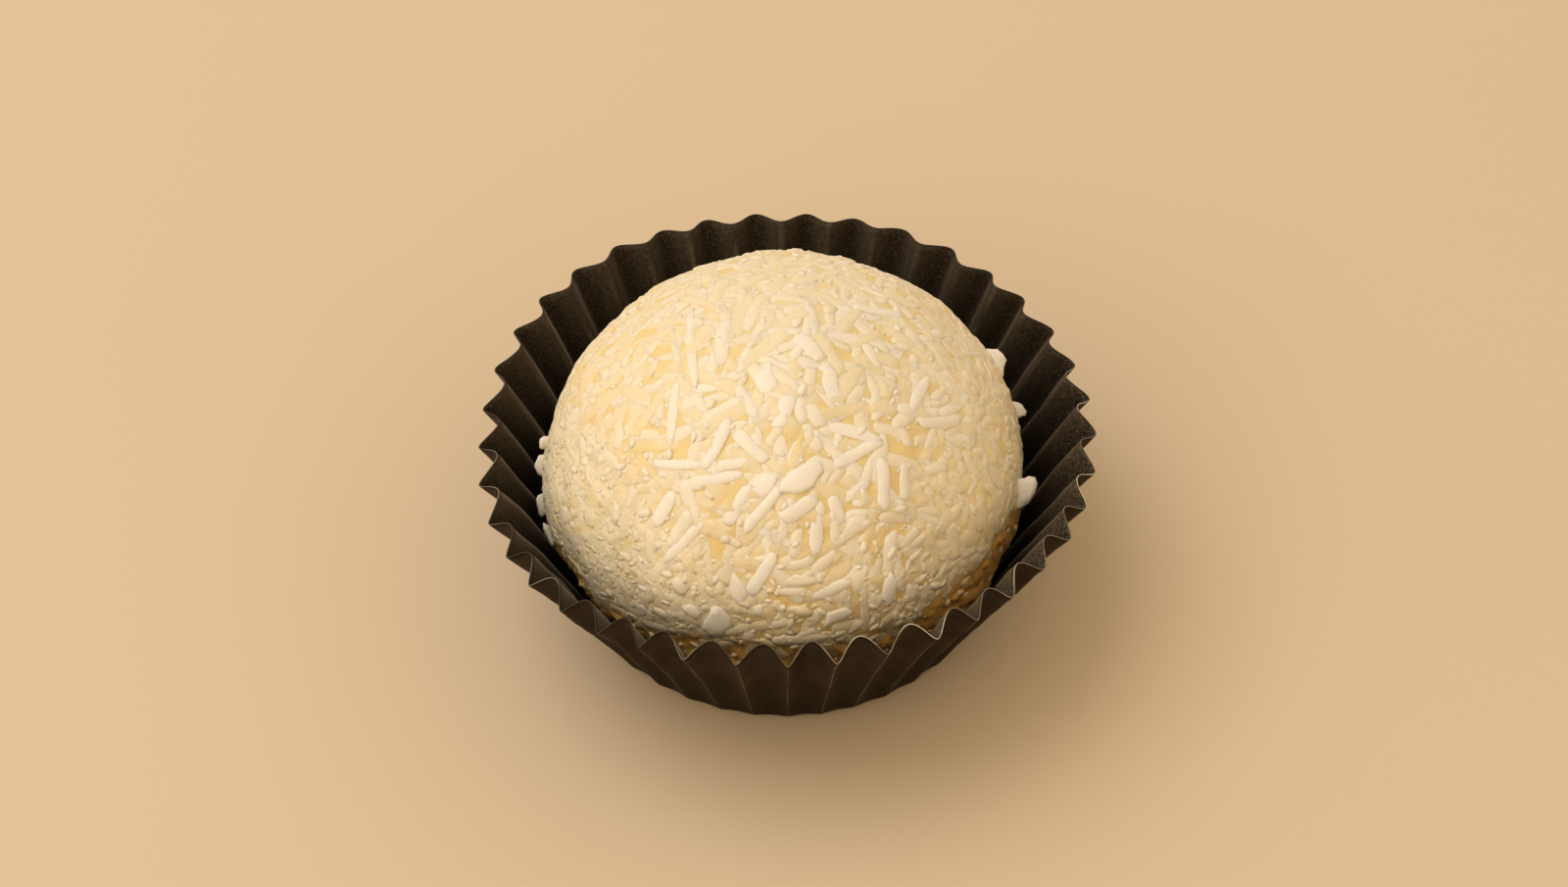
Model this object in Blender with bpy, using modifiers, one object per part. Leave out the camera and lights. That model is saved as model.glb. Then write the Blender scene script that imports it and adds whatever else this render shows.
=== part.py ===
"""A coconut brigadeiro: a soft rolled sweet sitting in its fluted paper case.

Two separate pieces are made, each a closed solid in its own object:

    paper_case  a thin cup pressed from one round of black paper, with a flat
                base and a wall in 39 flutes that deepen towards the rim
    sweet       the rolled sweet, out to its coat of coconut: a dome that has
                sagged and leans to the front, on a flat foot inside the case

Units are metres and +Z is up. The origin is the middle of the underside of
the case's base, on the surface that the case stands on, and -Y is the front.
"""

import math

import bmesh
import bpy

MM = 0.001

# Paper case. A ridge is a fold that stands outwards, a groove one that stands inwards.
BASE_RADIUS = 13.7 * MM
RIM_RADIUS = 20.05 * MM  # at the tips of the ridges
FLUTE_DEPTH = 1.07 * MM  # from ridge to groove, at the rim
RIDGE_HEIGHT = 12.95 * MM
GROOVE_RISE = 0.78 * MM  # the grooves lean out less, so their paper reaches higher by this
PAPER = 0.2 * MM
FLUTES = 39
STEPS_PER_FLUTE = 6
FIRST_RIDGE = math.radians(3.2)
WALL_FLARE = 1.1  # above 1, the wall leans out more towards the rim
FLUTE_GROWTH = 0.8  # below 1, the flutes deepen fastest just above the base
WALL_ROWS = (0.1, 0.3, 0.55, 0.8, 1.0)  # shares of the way up the wall

# Handling has pushed the rim out of round and level, and crowded the flutes together at the front.
# Each wave is (waves round the rim, amplitude, angle of its crest).
RIM_WAVES = (
    (1, 0.20 * MM, math.radians(-89.0)),
    (2, 0.15 * MM, math.radians(11.0)),
    (3, 0.20 * MM, math.radians(-11.0)),
    (4, 0.18 * MM, math.radians(-42.0)),
    (5, 0.11 * MM, math.radians(-6.0)),
)
DEPTH_WAVES = ((1, 0.08 * MM, math.radians(111.0)), (2, 0.10 * MM, math.radians(4.0)))
HEIGHT_WAVES = ((1, 0.27 * MM, math.radians(76.0)), (2, 0.19 * MM, math.radians(-81.0)))
GROOVE_WAVES = ((1, 0.42 * MM, math.radians(-83.0)),)
FLUTE_DRIFTS = (
    (1, math.radians(4.13), math.radians(-173.3)),
    (2, math.radians(0.59), math.radians(-19.4)),
    (3, math.radians(0.89), math.radians(-46.9)),
    (4, math.radians(0.43), math.radians(19.0)),
)

# The ridges are sharp folds at the front and have sprung open to round ones at the back.
RIDGE_ROUNDNESS = 0.66
ROUNDNESS_SPREAD = 3.9  # how many times rounder, or sharper, than that they get
ROUNDEST = math.radians(65.0)

# Sweet. Its widest level lies between the foot and the top.
SWEET_RADIUS = 15.75 * MM
SWEET_TOP = 23.2 * MM
WIDEST_LEVEL = 8.0 * MM
LEAN = (0.1 * MM, -0.8 * MM)  # how far the top stands off the middle of the foot
SWEET_SEGMENTS = 56
SWEET_RINGS = 28
GAP = 0.3 * MM  # between the sweet's foot and the paper
SAG_DEPTH = 9.2 * MM  # how far below the widest level the underside would close without a foot
SAG_ROUNDNESS = 1.6  # 2 is an ellipse, less pulls the underside in sooner

# Rolling by hand leaves the sweet a little out of round, as shares of its radius.
SWEET_WAVES = (
    (2, 0.005, math.radians(20.0)),
    (3, 0.004, math.radians(50.0)),
)


def wave_sum(waves, angle):
    """The sum of cosine waves, each (count, amplitude, angle of its crest), at an angle."""
    return sum(size * math.cos(count * (angle - crest)) for count, size, crest in waves)


def folded(phase, angle):
    """How far the paper is from ridge, 0, to groove, 1, at a phase of the flutes."""
    roundness = RIDGE_ROUNDNESS * ROUNDNESS_SPREAD ** math.cos(angle - ROUNDEST)
    rounded = math.sqrt(math.sin(phase / 2) ** 2 + roundness**2)
    return (rounded - roundness) / (math.sqrt(1 + roundness**2) - roundness)


def fluted_point(turn, rise):
    """The point of the wall a share `rise` of the way up it, at the angle `turn` round the flat base."""
    angle = turn + rise * wave_sum(FLUTE_DRIFTS, turn)
    inward = folded(FLUTES * (turn - FIRST_RIDGE), angle)
    ridge = BASE_RADIUS + (RIM_RADIUS - BASE_RADIUS) * rise**WALL_FLARE
    ridge += rise * wave_sum(RIM_WAVES, angle)
    depth = FLUTE_DEPTH + wave_sum(DEPTH_WAVES, angle)
    radius = ridge - depth * rise**FLUTE_GROWTH * inward
    height = RIDGE_HEIGHT + wave_sum(HEIGHT_WAVES, angle)
    height += (GROOVE_RISE + wave_sum(GROOVE_WAVES, angle)) * inward
    return radius * math.cos(angle), radius * math.sin(angle), rise * height


def sagged_point(point):
    """The point of the sweet that a point of the unit sphere moves to."""
    angle = math.atan2(point.y, point.x)
    radius = SWEET_RADIUS * (1 + wave_sum(SWEET_WAVES, angle))
    if point.z >= 0:
        radius *= math.hypot(point.x, point.y)
        height = WIDEST_LEVEL + point.z * (SWEET_TOP - WIDEST_LEVEL)
    else:
        radius *= math.sqrt(max(0.0, 1 - abs(point.z) ** SAG_ROUNDNESS))
        height = WIDEST_LEVEL + point.z * SAG_DEPTH
    off_x, off_y = (lean * height / SWEET_TOP for lean in LEAN)
    return radius * math.cos(angle) + off_x, radius * math.sin(angle) + off_y, height


def paper_material():
    """Black greaseproof paper with a low sheen."""
    material = bpy.data.materials.new("black_paper")
    material.use_nodes = True
    shader = material.node_tree.nodes["Principled BSDF"]
    shader.inputs["Base Color"].default_value = (0.022, 0.018, 0.014, 1.0)
    shader.inputs["Roughness"].default_value = 0.45
    shader.inputs["Metallic"].default_value = 0.0
    return material


def sweet_material():
    """Cooked condensed milk, creamy white under its coat of shredded coconut."""
    material = bpy.data.materials.new("coconut_sweet")
    material.use_nodes = True
    shader = material.node_tree.nodes["Principled BSDF"]
    shader.inputs["Base Color"].default_value = (0.86, 0.76, 0.52, 1.0)
    shader.inputs["Roughness"].default_value = 0.6
    shader.inputs["Metallic"].default_value = 0.0
    return material


def add_object(name, shape, material, collection):
    """Turns a bmesh into a named, smoothly shaded object and frees the bmesh."""
    mesh = bpy.data.meshes.new(name)
    shape.to_mesh(mesh)
    shape.free()
    mesh.materials.append(material)
    mesh.shade_smooth()
    made = bpy.data.objects.new(name, mesh)
    collection.objects.link(made)
    return made


def make_paper_case(collection):
    """The outer face of the paper is drawn up from a flat disc, fluted, and given its thickness inwards."""
    cup = bmesh.new()
    segments = FLUTES * STEPS_PER_FLUTE
    bmesh.ops.create_circle(cup, cap_ends=True, cap_tris=True, segments=segments, radius=BASE_RADIUS)
    for rise in WALL_ROWS:
        rim = [edge for edge in cup.edges if edge.is_boundary]
        drawn_up = bmesh.ops.extrude_edge_only(cup, edges=rim)["geom"]
        for vertex in drawn_up:
            if isinstance(vertex, bmesh.types.BMVert):
                vertex.co.z = rise
    for vertex in cup.verts:
        if vertex.co.z > 0:
            vertex.co = fluted_point(math.atan2(vertex.co.y, vertex.co.x), vertex.co.z)
    bmesh.ops.recalc_face_normals(cup, faces=cup.faces)
    cup.normal_update()
    base = min(cup.faces, key=lambda face: face.calc_center_median().z)
    if base.normal.z > 0:
        bmesh.ops.reverse_faces(cup, faces=cup.faces)

    case = add_object("paper_case", cup, paper_material(), collection)
    thickness = case.modifiers.new("thickness", "SOLIDIFY")
    thickness.thickness = PAPER
    thickness.offset = -1.0
    thickness.use_even_offset = True
    return case


def make_sweet(collection):
    """A ball, sagged, with its underside cut to the flat foot that it stands on."""
    ball = bmesh.new()
    bmesh.ops.create_uvsphere(ball, u_segments=SWEET_SEGMENTS, v_segments=SWEET_RINGS, radius=1.0)
    for vertex in ball.verts:
        vertex.co = sagged_point(vertex.co)
    everything = ball.verts[:] + ball.edges[:] + ball.faces[:]
    cut = bmesh.ops.bisect_plane(
        ball,
        geom=everything,
        plane_co=(0.0, 0.0, PAPER + GAP),
        plane_no=(0.0, 0.0, -1.0),
        clear_outer=True,
    )
    foot = [part for part in cut["geom_cut"] if isinstance(part, bmesh.types.BMEdge)]
    bmesh.ops.contextual_create(ball, geom=foot)
    bmesh.ops.recalc_face_normals(ball, faces=ball.faces)
    return add_object("sweet", ball, sweet_material(), collection)


def main():
    for old in list(bpy.data.objects):
        bpy.data.objects.remove(old)
    collection = bpy.data.collections.new("brigadeiro")
    bpy.context.scene.collection.children.link(collection)
    make_paper_case(collection)
    make_sweet(collection)


main()
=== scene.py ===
"""Looks of a coconut brigadeiro: the sweet, its coat of coconut and its fluted black paper case.

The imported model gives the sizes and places. The paper case and the dough are made afresh as fine
meshes around it, and the shreds, flakes and crumbs of coconut are laid on the dough one by one.
A small studio, with a pale floor and soft light, stands around them.
"""

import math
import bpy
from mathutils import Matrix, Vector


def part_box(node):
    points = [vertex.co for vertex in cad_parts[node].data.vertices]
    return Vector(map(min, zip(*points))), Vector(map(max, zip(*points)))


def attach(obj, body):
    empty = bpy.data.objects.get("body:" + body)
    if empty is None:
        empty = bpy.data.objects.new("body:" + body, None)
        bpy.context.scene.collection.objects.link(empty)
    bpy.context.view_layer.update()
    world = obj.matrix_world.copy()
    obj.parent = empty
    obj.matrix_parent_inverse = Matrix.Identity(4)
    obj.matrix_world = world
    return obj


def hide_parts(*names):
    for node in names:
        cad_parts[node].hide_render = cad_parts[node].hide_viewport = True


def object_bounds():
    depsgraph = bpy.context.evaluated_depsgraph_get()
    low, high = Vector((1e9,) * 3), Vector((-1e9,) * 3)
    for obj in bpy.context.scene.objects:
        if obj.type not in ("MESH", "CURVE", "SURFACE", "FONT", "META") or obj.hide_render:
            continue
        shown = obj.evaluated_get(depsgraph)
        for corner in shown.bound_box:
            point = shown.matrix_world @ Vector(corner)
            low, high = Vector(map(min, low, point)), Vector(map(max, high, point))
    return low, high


bl_info = {
    "name": "Coconut Brigadeiro",
    "version": (1, 0, 0),
    "blender": (4, 5, 0),
    "location": "3D View > Sidebar > Brigadeiro",
    "description": "Makes a coconut brigadeiro in its fluted paper case, and a small studio for it",
    "category": "Object",
}

import bmesh
import bpy
import numpy as np
from bpy.props import FloatProperty, FloatVectorProperty, IntProperty, PointerProperty
from mathutils import Vector

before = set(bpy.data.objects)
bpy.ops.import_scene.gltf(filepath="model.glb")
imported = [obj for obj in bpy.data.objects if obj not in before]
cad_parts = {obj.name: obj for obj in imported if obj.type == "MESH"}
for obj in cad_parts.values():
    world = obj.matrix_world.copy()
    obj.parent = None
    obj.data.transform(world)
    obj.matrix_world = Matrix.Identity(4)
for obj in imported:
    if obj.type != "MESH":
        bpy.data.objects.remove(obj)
CAD_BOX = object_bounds()

MM = 0.001
LENGTH = {"unit": "LENGTH", "subtype": "DISTANCE", "precision": 5}
COLOUR = {"size": 3, "subtype": "COLOR", "min": 0.0, "max": 1.0}
BODY = "root"
SWEET_LOW, SWEET_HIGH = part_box("sweet")

# The sweet's own form, as the solid has it: its size, its lean and the level where it is widest.
SWEET_RADIUS = 15.75 * MM
WIDEST_LEVEL = 8.0 * MM
LEAN = np.array((0.1, -0.8, 0.0)) * MM
SAG_DEPTH = 9.2 * MM
SAG_ROUNDNESS = 1.6
SWEET_WAVES = ((2, 0.005, 20.0), (3, 0.004, 50.0))
COAT = 0.02 * MM  # from the dough's skin out to the sweet's outline
RUBBED_OFF = 0.13 * MM  # how much lower the dough lies where the paper has rubbed its coat off
FINE_LUMPS = 0.35  # height of the fine lumps, as a share of the broad ones'
BALL_CUTS = 135  # cuts across each side of the cube that the dough is rounded from

# The case's form: how handling has pushed its rim out of round and level and crowded the flutes.
# Each wave is (waves round the rim, amplitude, angle of its crest in degrees).
FIRST_RIDGE = math.radians(3.2)
WALL_FLARE = 1.1
FLUTE_GROWTH = 0.8
STEPS_PER_FLUTE = 20
BASE_CORNER = 0.35 * MM
FIRST_RING = 0.08  # the smallest ring of paper, as a share of the base's radius
BASE_RINGS = (0.3, 0.6, 0.82, 0.9, 0.95, 0.98, 1.0)  # the others, out to the edge of the base
WALL_ROWS = (0.008, 0.02, 0.035, 0.055, 0.08, *np.linspace(0.12, 1.0, 24))  # and up the wall
CRIMP_START = 0.86  # share of the base's radius where the paper begins to fold
CRIMP_DEPTH = 0.09  # depth of the folds at the foot of the wall, as a share of that at the rim
CRIMP_RISE = 0.10 * MM  # how far the folds lift the edge of the base off the table
CREASES = ((21, 6.0 * MM, 0.045 * MM), (22, 2.0 * MM, 0.012 * MM))  # each (seed, length, height)
RIM_WAVES = (
    (1, 0.20 * MM, -89.0),
    (2, 0.15 * MM, 11.0),
    (3, 0.20 * MM, -11.0),
    (4, 0.18 * MM, -42.0),
    (5, 0.11 * MM, -6.0),
)
DEPTH_WAVES = ((1, 0.08 * MM, 111.0), (2, 0.10 * MM, 4.0), (8, 0.06 * MM, 6.0))
HEIGHT_WAVES = ((1, 0.27 * MM, 76.0), (2, 0.19 * MM, -81.0))
GROOVE_WAVES = ((1, 0.42 * MM, -83.0),)
FLUTE_DRIFTS = (
    (1, math.radians(4.13), -173.3),
    (2, math.radians(0.59), -19.4),
    (3, math.radians(0.89), -46.9),
    (4, math.radians(0.43), 19.0),
    (11, math.radians(0.3), 5.0),
)
RIDGE_ROUNDNESS = 0.66  # of the folds that stand outwards
ROUNDNESS_SPREAD = 3.9  # how many times rounder, or sharper, than that they get
ROUNDEST = math.radians(65.0)

# The coconut, as it lies on the dough.
SHRED_THICKNESS = 0.36 * MM
FLAKE_THICKNESS = 0.42 * MM
STANDING_LEAN = math.radians(65.0)  # how far a standing flake is turned up on its edge
STANDING_RISE = 0.05 * MM  # how far out the middle of a standing flake lies, for each 1 of lift
SUNK_HALO = 0.4 * MM  # cleared round a sunk shred, so that those it crosses stay apart
NEAR_SHRED = 0.97  # cosine of the angle within which a sunk shred raises the skin
SCATTER_ROUNDS = 30  # rounds of chance points after which a scatter takes what it has

# How the coat changes over the sweet. Each place is (turn, tilt, reach), in degrees.
# Crumbly places are packed with crumbs, and chippy ones have the most flakes. In pasty places the
# coconut is smeared into the dough, and in smooth ones it lies under the skin. Yolky places are
# gaps that show yellow dough, creamy ones are pale with hidden coconut, and grainy ones have a
# thin sprinkle of crumbs.
CRUMBLY_PLACES = ((-140, 70, 22), (-170, 76, 16), (150, 80, 20), (-112, 74, 12))
CHIPPY_PLACES = ((-90, 78, 17), (-60, 76, 17), (-114, 80, 12))
PASTY_PLACES = ((-28, 64, 20), (5, 52, 20), (35, 64, 24), (75, 75, 20))
SMOOTH_PLACES = ((160, 42, 30), (-165, 48, 16), (95, 25, 22), (25, 45, 16))
YOLKY_PLACES = (
    (-143, 49, 7), (-175, 30, 4), (-87, 30, 3), (-105, 43, 4), (-82, 52, 4), (-64, 58, 4),
)
CREAMY_PLACES = ((90, 12, 18),)
GRAINY_PLACES = (
    (168, 74, 14), (145, 64, 14), (118, 54, 14), (85, 50, 14),
    (55, 54, 14), (32, 64, 14), (10, 82, 14), (-14, 80, 12),
)

# Shreds that show most, each (turn, tilt, heading, length, width, lift): where it lies on the
# sweet, in degrees round from +X and down from the top, which way it points, in degrees from
# downhill, its length and width in millimetres, and how proud of the dough it lies, from 0 to 1.
# A flake whose lift is over 1 stands on its edge.
SHOWN_SHREDS = (
    (-173, 22, 86, 6.6, 0.75, 0.4),
    (-145, 33, 46, 4.6, 0.80, 0.6),
    (-114, 22, 53, 3.2, 0.85, 0.6),
    (-140, 23, 140, 3.0, 0.80, 0.4),
    (-137, 13, 30, 2.2, 0.75, 0.4),
    (-91, 23, 163, 2.4, 1.05, 0.8),
    (9, 19, 123, 4.7, 0.85, 0.3),
    (-21, 35, 88, 3.4, 0.85, 0.9),
    (-24, 43, 47, 3.7, 0.80, 0.6),
    (-14, 21, 133, 2.2, 0.80, 0.5),
    (-129, 42, 118, 3.6, 0.75, 0.8),
    (-119, 34, 178, 3.5, 0.85, 0.9),
    (-110, 37, 115, 2.2, 0.75, 0.7),
    (-105, 32, 57, 2.9, 1.00, 0.7),
    (-127, 53, 170, 2.7, 0.95, 0.9),
    (-120, 55, 164, 2.5, 0.90, 0.6),
    (-105, 46, 161, 3.1, 0.90, 0.6),
    (-97, 46, 145, 3.8, 0.80, 1.0),
    (-118, 58, 154, 4.2, 0.80, 0.5),
    (-96, 62, 154, 3.5, 0.95, 1.0),
    (-127, 63, 15, 2.5, 0.85, 0.3),
    (-61, 36, 98, 3.4, 0.90, 0.7),
    (-86, 46, 121, 2.5, 1.05, 0.9),
    (-57, 45, 158, 3.3, 0.85, 0.9),
    (-50, 47, 154, 2.5, 0.80, 0.7),
    (-66, 44, 106, 2.1, 0.95, 0.6),
    (-81, 52, 170, 2.9, 0.90, 0.8),
    (-87, 54, 170, 2.1, 0.85, 0.5),
    (-74, 47, 8, 2.0, 0.85, 0.7),
    (-52, 55, 68, 4.8, 1.00, 0.2),
    (-57, 60, 57, 2.2, 0.95, 0.3),
    (-43, 68, 173, 2.8, 0.95, 0.2),
    (-78, 66, 111, 2.9, 0.95, 0.7),
    (-85, 63, 95, 2.8, 0.80, 0.4),
)
SHOWN_FLAKES = (
    (23, 69, -50, 1.9, 1.6, 3.2),
    (13, 77, -48, 1.2, 1.2, 3.6),
    (-13, 79, -45, 2.3, 2.5, 3.2),
    (176, 79, 45, 0.9, 0.9, 3.0),
    (-179, 82, 47, 1.2, 1.0, 3.0),
    (-171, 87, 42, 1.5, 0.9, 3.2),
    (-164, 91, 40, 1.7, 0.75, 2.6),
    (-106, 16, 37, 2.2, 1.5, 0.8),
    (-45, 8, 164, 2.1, 1.3, 0.8),
    (-57, 20, 160, 3.2, 1.3, 0.8),
    (-85, 39, 118, 3.1, 1.4, 1.0),
    (-70, 52, 96, 1.8, 1.4, 0.6),
    (-102, 67, 20, 2.8, 1.1, 0.5),
    (-64, 70, 175, 2.3, 1.2, 1.0),
    (-106, 77, 178, 2.4, 1.7, 1.0),
    (-78, 74, 107, 2.3, 1.1, 0.8),
    (-86, 59, 92, 1.9, 0.8, 0.5),
    (-86, 63, 86, 2.5, 0.8, 0.5),
    (-87, 66, 91, 1.9, 0.8, 0.5),
    (-90, 80, 122, 1.3, 1.0, 0.5),
    (-91, 75, 106, 1.8, 0.7, 0.5),
    (-85, 78, 110, 1.2, 0.8, 0.5),
    (-120, 79, 98, 1.3, 0.9, 0.5),
    (-68, 72, 38, 1.8, 0.9, 0.5),
    (-112, 75, 43, 1.3, 0.9, 0.5),
    (-126, 82, 24, 1.4, 0.9, 0.5),
    (-58, 74, 5, 1.9, 0.9, 0.5),
    (-116, 69, 46, 1.1, 0.8, 0.5),
    (-96, 71, 162, 1.1, 0.7, 0.5),
    (-73, 78, 105, 1.2, 0.8, 0.5),
)


# -------------------- settings


class CaseSettings(bpy.types.PropertyGroup):
    """Sizes and colours of the fluted paper case."""

    flutes: IntProperty(name="Flutes", description="Flutes round the wall", default=39, min=6)
    base_radius: FloatProperty(
        name="Base Radius", description="Radius of the flat base",
        default=13.7 * MM, **LENGTH,
    )
    rim_radius: FloatProperty(
        name="Rim Radius", description="Radius of the rim at the tips of the ridges",
        default=20.05 * MM, **LENGTH,
    )
    fold_depth: FloatProperty(
        name="Fold Depth", description="Depth of a flute at the rim",
        default=1.07 * MM, **LENGTH,
    )
    ridge_height: FloatProperty(
        name="Ridge Height", description="Height of the rim at the folds that stand outwards",
        default=12.95 * MM, **LENGTH,
    )
    groove_rise: FloatProperty(
        name="Groove Rise",
        description="How far the folds that stand inwards reach above the others",
        default=0.78 * MM, **LENGTH,
    )
    paper: FloatProperty(
        name="Paper", description="Thickness of the paper",
        default=0.06 * MM, **LENGTH,
    )
    outside: FloatVectorProperty(
        name="Outside", description="Colour of the paper's outer face",
        default=(0.0140, 0.0070, 0.0018), **COLOUR,
    )
    inside: FloatVectorProperty(
        name="Inside", description="Colour of the paper's inner face",
        default=(0.031, 0.0255, 0.0195), **COLOUR,
    )
    # Colour of the worn folds and fibres, which is also laid along the folds as painted highlights.
    scuff_and_highlight: FloatVectorProperty(
        name="Scuff", description="Colour of the worn folds and fibres",
        default=(0.20, 0.165, 0.12), **COLOUR,
    )
    # The cut edge's colour is partly the undyed middle of the paper and partly a painted highlight,
    # where the light catches the edge.
    cut: FloatVectorProperty(
        name="Cut Edge", description="Colour of the cut edge of the paper",
        default=(0.64, 0.59, 0.51), **COLOUR,
    )


class SweetSettings(bpy.types.PropertyGroup):
    """Colours and relief of the dough."""

    dough: FloatVectorProperty(
        name="Dough", description="Colour of the cooked condensed milk",
        default=(0.85, 0.69, 0.345), **COLOUR,
    )
    cream: FloatVectorProperty(
        name="Cream", description="Colour of the dough where coconut lies just under its skin",
        default=(0.875, 0.79, 0.59), **COLOUR,
    )
    # The bare dough's colour is also laid low on the sweet, in part as painted warm shade.
    bare: FloatVectorProperty(
        name="Bare Dough", description="Colour of the moist bare dough low down",
        default=(0.84, 0.50, 0.15), **COLOUR,
    )
    lumps: FloatProperty(
        name="Lumps", description="Height of the broad lumps left by rolling",
        default=0.09 * MM, **LENGTH,
    )
    grit: FloatProperty(
        name="Grit", description="Height of the fine crumbly relief",
        default=0.045 * MM, **LENGTH,
    )


class CoatSettings(bpy.types.PropertyGroup):
    """Amounts and colours of the coconut."""

    seed: IntProperty(name="Seed", description="Picks another chance layout", default=11, min=0)
    sunk: IntProperty(name="Sunk Shreds", description="Shreds under the skin", default=360, min=0)
    shreds: IntProperty(name="Shreds", description="Shreds on the dough", default=680, min=0)
    flakes: IntProperty(name="Flakes", description="Broad broken flakes", default=190, min=0)
    crumbs: IntProperty(name="Crumbs", description="Fine crumbs", default=2800, min=0)
    coconut: FloatVectorProperty(
        name="Coconut", description="Colour of dry coconut",
        default=(0.93, 0.90, 0.84), **COLOUR,
    )
    soaked: FloatVectorProperty(
        name="Soaked Coconut", description="Colour of coconut that the dough has soaked",
        default=(0.875, 0.782, 0.565), **COLOUR,
    )
    # Golden coconut is laid low on the sweet, partly for moisture and partly as painted warm shade.
    golden: FloatVectorProperty(
        name="Golden Coconut", description="Colour of coconut low down, sunk in moist dough",
        default=(0.86, 0.67, 0.35), **COLOUR,
    )


class StudioSettings(bpy.types.PropertyGroup):
    """Floor, lights and camera."""

    floor: FloatVectorProperty(
        name="Floor", description="Colour of the floor",
        default=(0.72, 0.59, 0.44), **COLOUR,
    )
    key: FloatProperty(
        name="Key Light", description="Power of the window-like light",
        default=1.28, unit="POWER", min=0.0,
    )
    surround: FloatProperty(
        name="Surround", description="Strength of the light from all round",
        default=0.745, min=0.0,
    )
    elevation: FloatProperty(
        name="Camera Elevation", description="Angle at which the camera looks down",
        default=math.radians(47.5), unit="ROTATION", subtype="ANGLE",
    )
    distance: FloatProperty(
        name="Camera Distance", description="From the camera to the middle of the sweet",
        default=259.5 * MM, **LENGTH,
    )
    lens: FloatProperty(
        name="Lens", description="Focal length of the camera",
        default=91.6, unit="CAMERA", min=1.0,
    )


# -------------------- materials


class Field:
    """A shader socket that takes part in arithmetic and adds its Math nodes as it does."""

    def __init__(self, shader, socket):
        self.shader = shader
        self.socket = socket

    def maths(self, operation, *values, clamp=False):
        settings = {"operation": operation, "use_clamp": clamp}
        return self.shader.add("Math", settings, dict(enumerate(values)))

    def __add__(self, other):
        return self.maths("ADD", self, other)

    def __radd__(self, other):
        return self.maths("ADD", other, self)

    def __sub__(self, other):
        return self.maths("SUBTRACT", self, other)

    def __rsub__(self, other):
        return self.maths("SUBTRACT", other, self)

    def __mul__(self, other):
        return self.maths("MULTIPLY", self, other)

    def __rmul__(self, other):
        return self.maths("MULTIPLY", other, self)

    def clamped(self):
        return self.maths("ADD", self, 0.0, clamp=True)

    def stretched(self, low, high):
        """0 where this is low or less, 1 where it is high or more, and straight between."""
        settings = {"interpolation_type": "LINEAR", "clamp": True}
        ends = {"From Min": low, "From Max": high, "To Min": 0.0, "To Max": 1.0}
        return self.shader.add("MapRange", settings, {"Value": self, **ends})


class Shader:
    """A new material, and the one way in which its nodes are added."""

    def __init__(self, name):
        self.material = bpy.data.materials.new(name)
        self.material.use_nodes = True
        self.tree = self.material.node_tree
        self.tree.nodes.clear()
        self.place = self.add("TexCoord", output="Object")

    def add(self, kind, settings=None, sockets=None, output=0):
        """Adds a node, makes its settings, then fills its sockets with values or links."""
        node = self.tree.nodes.new("ShaderNode" + kind)
        for name, value in (settings or {}).items():
            setattr(node, name, value)
        for name, value in (sockets or {}).items():
            socket = self.socket_of(node.inputs, name)
            if isinstance(value, Field):
                self.tree.links.new(value.socket, socket)
            else:
                socket.default_value = value
        return Field(self, self.socket_of(node.outputs, output))

    @staticmethod
    def socket_of(sockets, name):
        """A socket by its number, or by its identifier, which unlike its name is never shared."""
        if isinstance(name, int):
            return sockets[name]
        return next(socket for socket in sockets if name in (socket.identifier, socket.name))

    def axis(self, name):
        """How far along X, Y or Z each point of the surface lies, in metres."""
        return self.add("SeparateXYZ", None, {"Vector": self.place}, output=name)

    def noise(self, size, detail=2.0, roughness=0.5):
        """Noise whose lumps are about `size` metres across, from 0 to 1."""
        sockets = {"Scale": 1 / size, "Detail": detail, "Roughness": roughness}
        return self.add("TexNoise", None, {"Vector": self.place, **sockets})

    def attribute(self, name):
        """The number that set_mark stored at each point."""
        return self.add("Attribute", {"attribute_name": name}, output="Fac")

    def mix(self, share, first, second):
        """The first colour where share is 0, and the second where it is 1."""
        first, second = (c if isinstance(c, Field) else (*c, 1.0) for c in (first, second))
        sockets = {"Factor_Float": share, "A_Color": first, "B_Color": second}
        return self.add("Mix", {"data_type": "RGBA"}, sockets, output="Result_Color")

    def bump(self, height, distance, strength):
        """A normal that leans as on a relief `distance` high, for a height from 0 to 1."""
        sockets = {"Height": height, "Distance": distance, "Strength": strength}
        return self.add("Bump", None, sockets, output="Normal")

    def finish(self, sockets):
        """Ends the material with a Principled BSDF."""
        surface = self.add("BsdfPrincipled", None, sockets)
        output = self.tree.nodes.new("ShaderNodeOutputMaterial")
        self.tree.links.new(surface.socket, output.inputs["Surface"])
        return self.material


def scaled(tint, factor):
    """A darker or lighter shade of a colour."""
    return tuple(factor * channel for channel in tint)


def wetness_and_shade(shader):
    """1 low on the sweet and 0 on top: partly where the coat has drawn moisture from the dough, and
    partly painted warm shade, as the lower sweet lies in shade.
    """
    return 1 - shader.axis("Z").stretched(6 * MM, 19 * MM)


def paper(shader, settings, face, wear_and_highlight, grain, sheen):
    """What the two faces of the paper share: scuffs and painted highlights over a dyed ground that
    is painted darker where shade falls, and a low sheen.
    """
    return shader.finish({
        "Base Color": shader.mix(wear_and_highlight, face, settings.scuff_and_highlight),
        "Roughness": 0.45 + 0.25 * grain,
        "Specular IOR Level": 0.12,
        "Specular Tint": (1.0, 0.72, 0.42, 1.0),
        "Sheen Weight": sheen,
        "Sheen Roughness": 0.35,
        "Sheen Tint": (1.0, 0.86, 0.70, 1.0),
        "Normal": shader.bump(grain, 0.02 * MM, 0.6),
    })


def scuffed_and_highlit(shader):
    """1 at the front right of the rim, where handling has scuffed the paper most, and where painted
    highlights stand in for the light that catches it there.
    """
    return (shader.axis("X") * 0.8 - shader.axis("Y") * 0.6).stretched(10 * MM, 18 * MM)


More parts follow.
